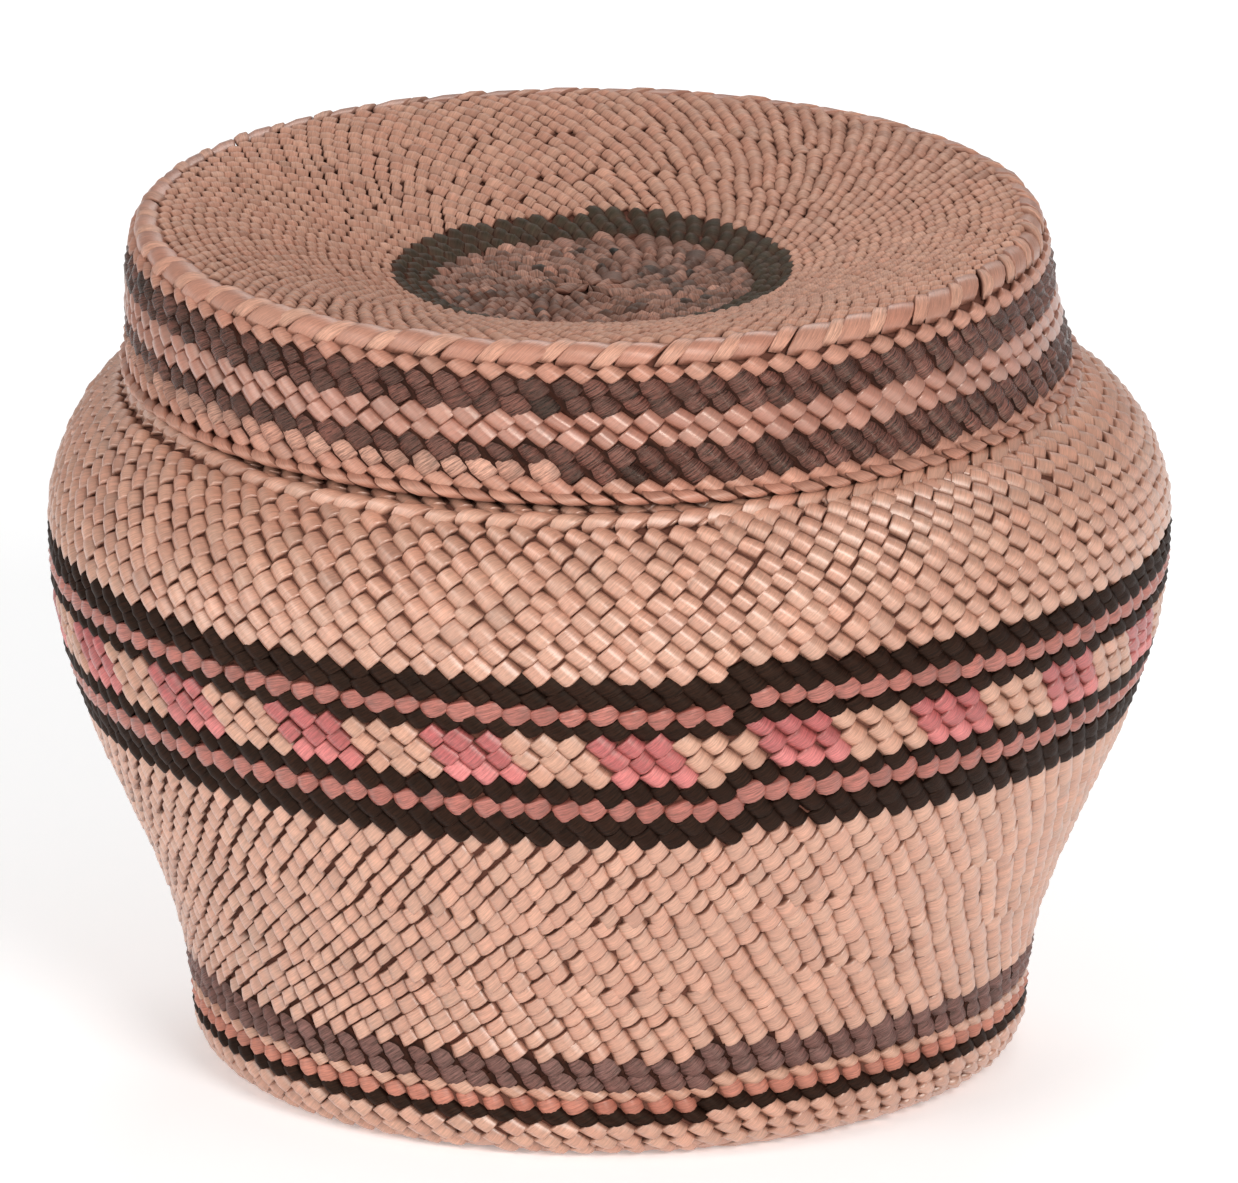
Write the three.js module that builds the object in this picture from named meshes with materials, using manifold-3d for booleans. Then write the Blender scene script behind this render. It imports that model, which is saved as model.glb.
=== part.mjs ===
// Lidded basket in wrapped twining: radial warps run from the middle of the base up the wall,
// a stiff weft lines them on the inside, and coloured strands wrap both together on the outside.
// The lid is made the same way and slips over the basket's neck.
// Millimetres, +Z up. The origin is the middle of the underside of the base.
import * as THREE from "three";
import { mergeVertices } from "three/addons/utils/BufferGeometryUtils.js";
import Module from "manifold-3d";

const wasm = await Module();
wasm.setup();

// Driving dimensions of the basket
const FOOT_RADIUS = 44.8;
const HEEL_ROUND = 5.5;
const FOOT_RISE = 19;
const BELLY_RADIUS = 60.3;
const BELLY_HEIGHT = 60;
const BELLY_RUN = 22;
const SHOULDER_HEIGHT = 76.2;
const SHOULDER_FULLNESS = 0.556;
const SHOULDER_RUN = 7;
const NECK_RADIUS = 46.6;
const NECK_DEPTH = 9.5;
const NECK_RIM_HEIGHT = 1.6;
const BASE_START_RADIUS = 12;
const SHOULDER_INNER_WIDTH = 3.3;

// Driving dimensions of the lid
const LID_FIT = 0.5;
const LID_SEAT_GAP = 0.3;
const LID_FLANGE_DEPTH = 16.5;
const LID_HEM_FLARE = 1.4;
const LID_EDGE_ROUND = 3.6;
const LID_DISH_DEPTH = 7.8;
const LID_DISH_RADIUS = 15.5;
const LID_DISH_BLEND = 2;
const LID_DISH_RUN = 10.2;
const LID_START_RADIUS = 4.5;
const LID_RING_INNER = 17.2;
const LID_RING_OUTER = 21.6;
const LID_EDGE_LAP = 1.5;

// Layers of the woven wall, from the outside in, and the slack between neighbours
const WRAP_THICKNESS = 1.0;
const WARP_THICKNESS = 0.5;
const INNER_WEFT_THICKNESS = 0.8;
const LAYER_GAP = 0.2;
const COURSE_GAP = 0.15;
const COURSE_CROWN = 0.3;
const BRAID_CROWN = 0.7;
const WARP_WIDTH = 2.2;
const WARP_COUNT = 14;
const FACETS_PER_WARP = 2;

// Stations along each stretch of a profile
const HEEL_STEPS = 3;
const WALL_STEPS = 6;
const SHOULDER_STEPS = 4;
const DISH_STEPS = 4;
const EDGE_STEPS = 3;
const LID_CREST_STATION = DISH_STEPS + 1;

const WARP_FACE = WRAP_THICKNESS + LAYER_GAP;
const WARP_BACK = WARP_FACE + WARP_THICKNESS;
const INNER_FACE = WARP_BACK + LAYER_GAP;
const WALL_THICKNESS = INNER_FACE + INNER_WEFT_THICKNESS;
const FACETS = WARP_COUNT * FACETS_PER_WARP;

// Bands of the wall from the heel upwards: name, width along the wall, courses, crown, colour
const WALL_BANDS = [
  ["heel_twine", 2.6, 0, 0, 0xd2a283],
  ["foot_natural_band", 5.4, 3, COURSE_CROWN, 0xd6a88a],
  ["foot_black_course", 1.3, 1, COURSE_CROWN, 0x2b2522],
  ["foot_russet_course", 1.5, 1, COURSE_CROWN, 0xb4735c],
  ["foot_cream_course", 1.3, 1, COURSE_CROWN, 0xdcb292],
  ["foot_plum_band", 3.45, 2, COURSE_CROWN, 0x5d4a49],
  ["lower_wall_band", 29.3, 8, COURSE_CROWN, 0xdcac8f],
  ["lower_black_band", 3.6, 2, COURSE_CROWN, 0x2a2422],
  ["lower_rose_course", 2.3, 1, COURSE_CROWN, 0xb56a5c],
  ["lower_black_course", 2.05, 1, COURSE_CROWN, 0x2a2422],
  ["check_band", 5.9, 3, COURSE_CROWN, 0xd9a58c],
  ["upper_black_course", 1.5, 1, COURSE_CROWN, 0x2a2422],
  ["upper_rose_course", 1.9, 1, COURSE_CROWN, 0xb56a5c],
  ["upper_black_band", 3.05, 2, COURSE_CROWN, 0x2a2422],
  ["upper_wall_band", 18.2, 5, BRAID_CROWN, 0xdcab8e],
  ["shoulder_braid", 2.6, 1, BRAID_CROWN, 0xd7a486],
];
const NECK_COLOUR = 0xcf9d80;
const INNER_WEFT_COLOUR = 0xb98a6c;
const WARP_COLOUR = 0x9a6d4e;

// Bands of the lid's flange from the top edge downwards, in the same form
const FLANGE_BANDS = [
  ["lid_edge_braid", 5.2, 1, BRAID_CROWN, 0xcf9677],
  ["lid_edge_course", 1.2, 1, COURSE_CROWN, 0xd29c7e],
  ["lid_upper_brown_band", 3.45, 2, COURSE_CROWN, 0x54413b],
  ["lid_copper_band", 3.6, 2, COURSE_CROWN, 0xcd8e70],
  ["lid_lower_brown_band", 4.05, 2, COURSE_CROWN, 0x54413b],
  ["lid_hem_course", 1.55, 1, COURSE_CROWN, 0xcf9c7f],
  ["lid_hem_braid", 1.2, 1, COURSE_CROWN, 0xc69377],
];
const LID_START_COLOUR = 0x8d7264;
const LID_CENTRE_COLOUR = 0x7a6158;
const LID_RING_COLOUR = 0x3f4038;
const LID_TOP_COLOUR = 0xc7977c;
const BASE_COLOUR = 0xc99c7f;

// A profile: points in (radius, height), the length along it at each point, and its outward normals.
// The outside is on the right of the run of points when side is 1, and on the left when it is -1.
function makeProfile(points, side) {
  const lengths = [0];
  for (let i = 1; i < points.length; i++) {
    lengths.push(lengths[i - 1] + points[i].distanceTo(points[i - 1]));
  }
  const normals = points.slice(1).map((p, i) => {
    const along = p.clone().sub(points[i]).normalize();
    return new THREE.Vector2(along.y, -along.x).multiplyScalar(side);
  });
  return { points, lengths, normals, side, length: lengths.at(-1) };
}

// The profile's vertex i, moved inwards by depth, with neighbouring stretches kept parallel
function insetVertex(profile, i, depth) {
  const before = profile.normals[Math.max(i - 1, 0)];
  const after = profile.normals[Math.min(i, profile.normals.length - 1)];
  const miter = before.clone().add(after).divideScalar(1 + before.dot(after));
  return profile.points[i].clone().addScaledVector(miter, -depth);
}

// The point at a length along the profile, moved inwards by depth
function insetPoint(profile, length, depth) {
  const last = profile.lengths.length - 2;
  let i = profile.lengths.findIndex((l, k) => k > 0 && l >= length) - 1;
  if (i < 0) i = last;
  const share = (length - profile.lengths[i]) / (profile.lengths[i + 1] - profile.lengths[i]);
  const from = insetVertex(profile, i, depth);
  return from.lerp(insetVertex(profile, i + 1, depth), share);
}

// Lengths of the profile's own vertices that lie between two lengths
function verticesBetween(profile, start, end) {
  const clear = 1e-3;
  return profile.lengths.filter((l) => l > start + clear && l < end - clear);
}

// A closed section between two lengths and two depths. Each course swells outwards by the crown.
function layerSection(profile, start, end, outer, inner, courses = 0, crown = 0) {
  const step = (end - start) / Math.max(courses, 1);
  const crowns = Array.from({ length: courses }, (_, k) => start + (k + 0.5) * step);
  const valleys = Array.from({ length: Math.max(courses - 1, 0) }, (_, k) => start + (k + 1) * step);
  const lines = courses ? [start, ...valleys, end] : [start, ...verticesBetween(profile, start, end), end];
  const face = [
    ...lines.map((l) => [l, outer]),
    ...crowns.map((l) => [l, outer - crown]),
  ].sort((a, b) => a[0] - b[0]);
  const back = [start, ...verticesBetween(profile, start, end), end].reverse();
  const section = [
    ...face.map(([l, depth]) => insetPoint(profile, l, depth)),
    ...back.map((l) => insetPoint(profile, l, inner)),
  ];
  return profile.side > 0 ? section : section.reverse();
}

// A solid of revolution about Z from a closed section in (radius, height)
function revolve(section) {
  const onAxis = section.map((p) => new THREE.Vector2(Math.max(p.x, 0), p.y));
  const startsOnAxis = onAxis[0].x === 0;
  const outline = startsOnAxis ? onAxis : [...onAxis, onAxis[0].clone()];
  return new THREE.LatheGeometry(outline, FACETS).rotateX(Math.PI / 2);
}

function toManifold(geometry) {
  const bare = geometry.clone();
  bare.deleteAttribute("normal");
  bare.deleteAttribute("uv");
  const merged = mergeVertices(bare, 1e-4);
  return new wasm.Manifold(
    new wasm.Mesh({
      numProp: 3,
      vertProperties: merged.attributes.position.array,
      triVerts: new Uint32Array(merged.index.array),
    }),
  );
}

function fromManifold(solid) {
  const mesh = solid.getMesh();
  const geometry = new THREE.BufferGeometry();
  geometry.setAttribute("position", new THREE.BufferAttribute(mesh.vertProperties, 3));
  geometry.setIndex(new THREE.BufferAttribute(mesh.triVerts, 1));
  geometry.computeVertexNormals();
  return geometry;
}

// A flat strip that follows the profile in the plane y = 0, from the axis to its edge
function warpStrip(profile) {
  const outline = layerSection(profile, 0, profile.length, WARP_FACE, WARP_BACK);
  // The strip lies against the flats of the faceted wall, which are nearer the axis than its corners
  const flat = Math.cos(Math.PI / FACETS);
  const shape = new THREE.Shape(outline.map((p) => new THREE.Vector2(p.x * flat, p.y)));
  const strip = new THREE.ExtrudeGeometry(shape, { depth: WARP_WIDTH, bevelEnabled: false });
  return strip.translate(0, 0, -WARP_WIDTH / 2).rotateX(Math.PI / 2);
}

// All the warps, crossed and joined in the middle, where a round start gathers them
function warpFrame(profile) {
  const strip = toManifold(warpStrip(profile));
  const turn = 360 / WARP_COUNT;
  const strips = Array.from({ length: WARP_COUNT }, (_, k) => strip.rotate([0, 0, k * turn + 180 / FACETS]));
  const hubSection = layerSection(profile, 0, WARP_WIDTH, WARP_FACE, WARP_BACK);
  return fromManifold(wasm.Manifold.union([toManifold(revolve(hubSection)), ...strips]));
}

function makeMesh(name, geometry, colour, roughness) {
  const material = new THREE.MeshStandardMaterial({ color: colour, roughness, metalness: 0 });
  const mesh = new THREE.Mesh(geometry, material);
  mesh.name = name;
  return mesh;
}

const WRAP_ROUGHNESS = 0.45;
const BARK_ROUGHNESS = 0.8;

// A wrapped band between two lengths of a profile, with slack to its neighbours
function wrappedBand(profile, name, start, end, courses, crown, colour) {
  const from = start > 0 ? start + COURSE_GAP / 2 : start;
  const section = layerSection(profile, from, end - COURSE_GAP / 2, 0, WRAP_THICKNESS, courses, crown);
  return makeMesh(name, revolve(section), colour, WRAP_ROUGHNESS);
}

// Points of a curve after its first
function stations(curve, steps) {
  return curve.getPoints(steps).slice(1);
}

const v2 = (r, z) => new THREE.Vector2(r, z);

// The basket's outer profile: base, rounded heel, flared wall, shoulder and upright neck
const baseEdge = FOOT_RADIUS - HEEL_ROUND;
const neckTop = SHOULDER_HEIGHT + NECK_DEPTH;
const heel = new THREE.EllipseCurve(baseEdge, HEEL_ROUND, HEEL_ROUND, HEEL_ROUND, -Math.PI / 2, 0);
const wall = new THREE.CubicBezierCurve(
  v2(FOOT_RADIUS, HEEL_ROUND),
  v2(FOOT_RADIUS, HEEL_ROUND + FOOT_RISE),
  v2(BELLY_RADIUS, BELLY_HEIGHT - BELLY_RUN),
  v2(BELLY_RADIUS, BELLY_HEIGHT),
);
const shoulder = new THREE.CubicBezierCurve(
  v2(BELLY_RADIUS, BELLY_HEIGHT),
  v2(BELLY_RADIUS, BELLY_HEIGHT + SHOULDER_FULLNESS * (SHOULDER_HEIGHT - BELLY_HEIGHT)),
  v2(NECK_RADIUS + SHOULDER_RUN, SHOULDER_HEIGHT),
  v2(NECK_RADIUS, SHOULDER_HEIGHT),
);
const bodyProfile = makeProfile(
  [
    v2(0, 0),
    v2(baseEdge, 0),
    ...stations(heel, HEEL_STEPS),
    ...stations(wall, WALL_STEPS),
    ...stations(shoulder, SHOULDER_STEPS),
    v2(NECK_RADIUS, neckTop),
  ],
  1,
);

// The lid's outer profile: dished middle, raised rounded edge, and a flange that flares to its hem
const lidSeat = SHOULDER_HEIGHT + LID_SEAT_GAP;
const lidTop = lidSeat + LID_FLANGE_DEPTH;
const dishFloor = lidTop - LID_DISH_DEPTH;
const flangeRadius = NECK_RADIUS + LID_FIT + WALL_THICKNESS;
const crestRadius = flangeRadius - LID_EDGE_ROUND;
const dish = new THREE.CubicBezierCurve(
  v2(LID_DISH_RADIUS, dishFloor),
  v2(LID_DISH_RADIUS + LID_DISH_BLEND, dishFloor),
  v2(crestRadius - LID_DISH_RUN, lidTop),
  v2(crestRadius, lidTop),
);
const edge = new THREE.EllipseCurve(
  crestRadius, lidTop - LID_EDGE_ROUND, LID_EDGE_ROUND, LID_EDGE_ROUND, Math.PI / 2, 0, true,
);
const lidProfile = makeProfile(
  [
    v2(0, dishFloor),
    v2(LID_DISH_RADIUS, dishFloor),
    ...stations(dish, DISH_STEPS),
    ...stations(edge, EDGE_STEPS),
    v2(flangeRadius + LID_HEM_FLARE, lidSeat),
  ],
  -1,
);

// Bands laid one after another so that together they fill the stretch between two lengths
function addBands(profile, bands, start, end) {
  const total = bands.reduce((sum, band) => sum + band[1], 0);
  const scale = (end - start) / total;
  let from = start;
  for (const [name, width, courses, crown, colour] of bands) {
    const to = from + width * scale;
    basket.add(wrappedBand(profile, name, from, to, courses, crown, colour));
    from = to;
  }
}

// The stiff weft that lines the warps on the inside, as one shell
function innerWeft(profile) {
  return revolve(layerSection(profile, 0, profile.length, INNER_FACE, WALL_THICKNESS));
}

// The rounded selvage that closes the three layers at the mouth
function neckRimSection() {
  const outer = NECK_RADIUS;
  const inner = NECK_RADIUS - WALL_THICKNESS;
  const foot = neckTop + COURSE_GAP;
  const brow = foot + NECK_RIM_HEIGHT * 0.6;
  const top = foot + NECK_RIM_HEIGHT;
  return [v2(inner, foot), v2(outer, foot), v2(outer, brow), v2((outer + inner) / 2, top), v2(inner, brow)];
}

const basket = new THREE.Group();
const neckFoot = bodyProfile.length - NECK_DEPTH;
basket.add(wrappedBand(bodyProfile, "base_start", 0, BASE_START_RADIUS, 0, 0, BASE_COLOUR));
basket.add(wrappedBand(bodyProfile, "base_disc", BASE_START_RADIUS, baseEdge, 0, 0, BASE_COLOUR));
addBands(bodyProfile, WALL_BANDS, baseEdge, neckFoot - SHOULDER_INNER_WIDTH);
basket.add(
  wrappedBand(bodyProfile, "shoulder_inner_band", neckFoot - SHOULDER_INNER_WIDTH, neckFoot, 0, 0, NECK_COLOUR),
);
basket.add(wrappedBand(bodyProfile, "neck_collar", neckFoot, bodyProfile.length, 0, 0, NECK_COLOUR));
basket.add(makeMesh("neck_rim", revolve(neckRimSection()), NECK_COLOUR, WRAP_ROUGHNESS));
basket.add(makeMesh("body_warps", warpFrame(bodyProfile), WARP_COLOUR, BARK_ROUGHNESS));
basket.add(makeMesh("inner_weft", innerWeft(bodyProfile), INNER_WEFT_COLOUR, BARK_ROUGHNESS));

const braidStart = lidProfile.lengths[LID_CREST_STATION] - LID_EDGE_LAP;
basket.add(wrappedBand(lidProfile, "lid_start", 0, LID_START_RADIUS, 0, 0, LID_START_COLOUR));
basket.add(
  wrappedBand(lidProfile, "lid_centre_courses", LID_START_RADIUS, LID_RING_INNER, 0, 0, LID_CENTRE_COLOUR),
);
basket.add(
  wrappedBand(lidProfile, "lid_dark_ring", LID_RING_INNER, LID_RING_OUTER, 0, 0, LID_RING_COLOUR),
);
basket.add(wrappedBand(lidProfile, "lid_top_band", LID_RING_OUTER, braidStart, 0, 0, LID_TOP_COLOUR));
addBands(lidProfile, FLANGE_BANDS, braidStart, lidProfile.length);
basket.add(makeMesh("lid_warps", warpFrame(lidProfile), WARP_COLOUR, BARK_ROUGHNESS));
basket.add(makeMesh("lid_inner_weft", innerWeft(lidProfile), INNER_WEFT_COLOUR, BARK_ROUGHNESS));

export default basket;
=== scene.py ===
# Lidded basket in wrapped twining. Every strand that shows is its own small arched body.
# Lengths are in mm up to build(), which scales them to metres. The front faces -Y.
import math

import bpy
import numpy as np
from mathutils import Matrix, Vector


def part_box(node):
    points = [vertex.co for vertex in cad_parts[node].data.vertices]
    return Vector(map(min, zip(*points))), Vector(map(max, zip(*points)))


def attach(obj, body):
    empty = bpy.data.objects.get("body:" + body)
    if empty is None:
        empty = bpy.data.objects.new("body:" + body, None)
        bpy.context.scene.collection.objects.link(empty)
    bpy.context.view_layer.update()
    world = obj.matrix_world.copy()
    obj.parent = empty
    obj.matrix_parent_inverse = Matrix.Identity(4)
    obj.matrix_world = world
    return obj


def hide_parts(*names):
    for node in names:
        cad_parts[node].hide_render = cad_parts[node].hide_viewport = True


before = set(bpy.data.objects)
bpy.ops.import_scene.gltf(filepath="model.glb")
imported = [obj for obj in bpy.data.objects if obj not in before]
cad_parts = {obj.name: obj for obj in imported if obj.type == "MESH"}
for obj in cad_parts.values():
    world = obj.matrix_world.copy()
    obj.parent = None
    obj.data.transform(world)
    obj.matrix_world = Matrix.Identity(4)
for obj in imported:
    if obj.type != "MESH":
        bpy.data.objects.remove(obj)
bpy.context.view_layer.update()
rng = np.random.default_rng(41)
MM = 0.001
FULL_TURN = 2 * math.pi
FRONT = -math.pi / 2

# Colours in sRGB, 0 to 255
NATURAL = (203, 152, 127)
LID_NATURAL = (192, 146, 124)
COPPER = (174, 118, 98)
STRAP_WIDE = (190, 137, 115)
STRAP_PALE = (212, 162, 138)
BLACK = (38, 22, 15)
ROSE = (172, 102, 90)
PINK = (182, 92, 92)
PINK_LIGHT = (214, 126, 124)
CREAM = (204, 156, 131)
RUSSET = (190, 122, 102)
PLUM = (112, 80, 74)
BROWN = (80, 50, 43)
MOTTLED = (170, 128, 110)
RING = (58, 52, 41)
CENTRE = (132, 97, 83)
BARK = (172, 124, 96)
# GAP is the colour of the bark behind the strands, and also of the shade painted on most strands' ends and
# sides
GAP = (98, 58, 46)
# Painted shade: on the ends and sides of dark strands, and on the strands laid under the knots
DARK_STRAND_SHADE = (12, 8, 7)
SHADE = (24, 15, 12)
SHEEN = (255, 240, 220)


def linear(colour):
    """An sRGB colour as linear values from 0 to 1."""
    shares = np.array(colour) / 255
    return tuple(np.where(shares <= 0.04045, shares / 12.92, ((shares + 0.055) / 1.055) ** 2.4))


# Driving sizes of the basket
FOOT_RADIUS = 44.8
HEEL_ROUND = 5.5
FOOT_RISE = 19
BELLY_RADIUS = 60.3
BELLY_HEIGHT = 60
BELLY_RUN = 22
SHOULDER_HEIGHT = 76.2
SHOULDER_RISE = 9
SHOULDER_RUN = 7
NECK_RADIUS = 46.6
NECK_DEPTH = 9.5
WALL_THICKNESS = 2.7

# Driving sizes of the lid
LID_FIT = 0.5
LID_SEAT_GAP = 0.3
LID_FLANGE_DEPTH = 16.5
LID_HEM_FLARE = 1.4
LID_HEM_DROP = 0.7
LID_EDGE_ROUND = 3.6
LID_DISH_DEPTH = 7.8
LID_DISH_RADIUS = 15.5
LID_DISH_BLEND = 2
LID_DISH_RUN = 10.2

BASE_EDGE = FOOT_RADIUS - HEEL_ROUND
NECK_TOP = SHOULDER_HEIGHT + NECK_DEPTH
LID_SEAT = SHOULDER_HEIGHT + LID_SEAT_GAP
LID_TOP = LID_SEAT + LID_FLANGE_DEPTH
LID_DISH_FLOOR = LID_TOP - LID_DISH_DEPTH
LID_FLANGE_RADIUS = NECK_RADIUS + LID_FIT + WALL_THICKNESS
LID_HEM_RADIUS = LID_FLANGE_RADIUS + LID_HEM_FLARE
LID_CREST = LID_FLANGE_RADIUS - LID_EDGE_ROUND


def bezier(p0, p1, p2, p3, steps=60):
    t = np.linspace(0, 1, steps)[:, None]
    ends = (1 - t) ** 3 * np.array(p0) + t ** 3 * np.array(p3)
    return ends + 3 * (1 - t) ** 2 * t * np.array(p1) + 3 * (1 - t) * t ** 2 * np.array(p2)


def arc(centre, radius, start, end, steps=24):
    turn = np.radians(np.linspace(start, end, steps))
    return np.array(centre) + radius * np.stack([np.cos(turn), np.sin(turn)], 1)


CURVE_SAMPLES = 1500
SAME_POINT = 1e-6


class Curve:
    """A profile in (radius, height) with its length, outward normals and even sampling."""

    def __init__(self, points, outside):
        points = np.vstack(points)
        keep = np.r_[True, np.linalg.norm(np.diff(points, axis=0), axis=1) > SAME_POINT]
        points = points[keep]
        lengths = np.r_[0, np.cumsum(np.linalg.norm(np.diff(points, axis=0), axis=1))]
        self.length = lengths[-1]
        self.s = np.linspace(0, self.length, CURVE_SAMPLES)
        self.r = np.interp(self.s, lengths, points[:, 0])
        self.z = np.interp(self.s, lengths, points[:, 1])
        along = np.stack([np.gradient(self.r), np.gradient(self.z)], 1)
        along /= np.linalg.norm(along, axis=1)[:, None]
        self.outside = outside
        self.normal = outside * np.stack([along[:, 1], -along[:, 0]], 1)

    def radius(self, s):
        return np.interp(s, self.s, self.r)

    def place(self, theta, s, lift):
        """Points at angle theta and length s, lifted off the profile along its normal."""
        r = np.interp(s, self.s, self.r) + lift * np.interp(s, self.s, self.normal[:, 0])
        z = np.interp(s, self.s, self.z) + lift * np.interp(s, self.s, self.normal[:, 1])
        return np.stack([r * np.cos(theta), r * np.sin(theta), z], -1)

    def first(self, past):
        """Length of the first sample for which past is true."""
        return float(self.s[np.argmax(past)])


body_curve = Curve(
    [
        [(0, 0), (BASE_EDGE, 0)],
        arc((BASE_EDGE, HEEL_ROUND), HEEL_ROUND, -90, 0),
        bezier(
            (FOOT_RADIUS, HEEL_ROUND),
            (FOOT_RADIUS, HEEL_ROUND + FOOT_RISE),
            (BELLY_RADIUS, BELLY_HEIGHT - BELLY_RUN),
            (BELLY_RADIUS, BELLY_HEIGHT),
        ),
        bezier(
            (BELLY_RADIUS, BELLY_HEIGHT),
            (BELLY_RADIUS, BELLY_HEIGHT + SHOULDER_RISE),
            (NECK_RADIUS + SHOULDER_RUN, SHOULDER_HEIGHT),
            (NECK_RADIUS, SHOULDER_HEIGHT),
        ),
        [(NECK_RADIUS, NECK_TOP)],
    ],
    1,
)
lid_curve = Curve(
    [
        [(0, LID_DISH_FLOOR), (LID_DISH_RADIUS, LID_DISH_FLOOR)],
        bezier(
            (LID_DISH_RADIUS, LID_DISH_FLOOR),
            (LID_DISH_RADIUS + LID_DISH_BLEND, LID_DISH_FLOOR),
            (LID_CREST - LID_DISH_RUN, LID_TOP),
            (LID_CREST, LID_TOP),
        ),
        arc((LID_CREST, LID_TOP - LID_EDGE_ROUND), LID_EDGE_ROUND, 90, 0),
        [(LID_HEM_RADIUS, LID_SEAT - LID_HEM_DROP)],
    ],
    -1,
)

# The upper basket and its lid lean a little to the left and nothing is quite round. The wobble is a share of
# the radius, 0.35 mm at 60 mm. It is partly oval and partly three-sided, and each part turns with the height.
LEAN = -2.2
LEAN_FROM = 66
LEAN_TO = 88
WOBBLE = 0.35 / 60
OVAL_TURN = 19
THREE_SIDED = 0.6
THREE_SIDED_TURN = 13
THREE_SIDED_START = 1.1


def settle(points):
    """The hand-made unevenness of the whole, in mm."""
    z = points[..., 2]
    theta = np.arctan2(points[..., 1], points[..., 0])
    oval = np.sin(2 * theta + z / OVAL_TURN)
    three_sided = np.sin(3 * theta - z / THREE_SIDED_TURN + THREE_SIDED_START)
    swell = 1 + WOBBLE * (oval + THREE_SIDED * three_sided)
    share = np.clip((z - LEAN_FROM) / (LEAN_TO - LEAN_FROM), 0, 1)
    out = points.copy()
    out[..., 0] *= swell
    out[..., 1] *= swell
    out[..., 0] += LEAN * share * share * (3 - 2 * share)
    return out


def stitch_form(point=0.0, edge=0.0, tip=0.0, flare=0.0, crown=0.0, reach=(0, 0), girth=(0, 0),
                end_shade=0.6, side_shade=0.35):
    """A form of visible stitch.

    point narrows its ends, edge rounds its sides, tip lifts its lower side and flare widens that side. crown
    is its height in mm. reach and girth are its half vectors along and across, as shares of the stitch and
    row spacing. The shades are how dark the shade painted on its ends and sides is, where they dip between
    its neighbours."""
    return {
        "point": point,
        "edge": edge,
        "tip": tip,
        "flare": flare,
        "crown": crown,
        "reach": reach,
        "girth": girth,
        "end_shade": end_shade,
        "side_shade": side_shade,
    }


RIBBON = stitch_form(point=0.05, edge=0.18, tip=0.05, crown=1.0, reach=(0.36, 0.52), girth=(0.3, 0.38))
SCALE = stitch_form(
    point=0.05, edge=0.15, tip=0.14, flare=0.05, crown=0.95, reach=(0.42, 0.58), girth=(0.14, 0.47)
)
DENSE = stitch_form(point=0.2, edge=0.35, tip=0.04, crown=1.0, reach=(0.43, 0.5), girth=(0.29, 0.52))
KNOT = stitch_form(
    point=0.2, edge=0.4, tip=0.1, crown=1.5, reach=(0.5, 0.6), girth=(0.31, 0.57),
    end_shade=1.0, side_shade=0.7,
)
LENS = stitch_form(point=0.85, edge=0.5, crown=1.2, reach=(0.64, 0.34), girth=(0.12, 0.56))
ROUND = stitch_form(point=0.5, edge=0.5, crown=1.35, reach=(0.48, 0.36), girth=(0.16, 0.6))
FINE = stitch_form(point=0.15, edge=0.3, tip=0.05, crown=0.7, reach=(0.34, 0.42), girth=(0.26, 0.56))
# Near-black strands laid under the knots: painted shade for the gaps between them
BACKING = stitch_form(crown=0.3, reach=(0.5, 0.5), girth=(0.3, 0.6))
DIAMOND = stitch_form(point=0.2, edge=0.35, tip=0.08, crown=0.8, reach=(0.38, 0.48), girth=(0.27, 0.44))
LINING = stitch_form(point=0.1, edge=0.2, tip=0.05, crown=0.6, reach=(0.52, 0.2), girth=(0.1, 0.52))

# Forms of the long straps of an edge, whose lengths and heights are given where they are laid
STRAP = stitch_form(point=0.15, edge=0.3)
FLAT = stitch_form(point=0.2, edge=0.3, tip=0.1)
LEAF = stitch_form(point=0.6, edge=0.3, tip=0.1)

# The grid of points on one strand. Its top is flat between two creases at FLAT_TO of its half width.
FLAT_TO = 0.88
ALONG_STEPS = np.linspace(-1, 1, 7)
ACROSS_STEPS = np.array([-1, -FLAT_TO, 0, FLAT_TO, 1])
GRID_ALONG, GRID_ACROSS = np.meshgrid(ALONG_STEPS, ACROSS_STEPS, indexing="ij")
GRID_INSIDE = (np.abs(GRID_ALONG) < 1) & (np.abs(GRID_ACROSS) < 1)
TOP_SIZE = GRID_ALONG.size
STRAND_SIZE = TOP_SIZE + int(GRID_INSIDE.sum())

# How fast a strand narrows and rounds off towards its ends and sides, and how fast the shade painted on them
# grows
POINT_POWER = 2.5
EDGE_POWER = 5
PAINTED_END_SHADE_POWER = 4
PAINTED_SIDE_SHADE_POWER = 8

# Depths as shares of the crown: how far a strand is bedded in the wall, and its underside below its ends
BEDDED = 0.8
UNDERSIDE = 0.3
# Nearer the axis than this, a width is turned into an angle as if it lay at this radius
LEAST_RADIUS = 1.5


def strand_faces():
    """Quads of one strand: its top, and an underside that shares the rim and has inner points of its own."""
    top = np.arange(TOP_SIZE).reshape(GRID_ALONG.shape)
    under = top.copy()
    under[GRID_INSIDE] = np.arange(TOP_SIZE, STRAND_SIZE)
    top_quads = np.stack([top[:-1, :-1], top[1:, :-1], top[1:, 1:], top[:-1, 1:]], -1)
    under_quads = np.stack([under[:-1, :-1], under[:-1, 1:], under[1:, 1:], under[1:, :-1]], -1)
    return np.concatenate([top_quads.reshape(-1, 4), under_quads.reshape(-1, 4)])


def over_strand(on_top, beneath):
    """Values at a strand's points: those of the grid on its top, then those of its underside."""
    return np.concatenate([on_top.ravel(), np.broadcast_to(beneath, GRID_INSIDE.sum())])


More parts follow.
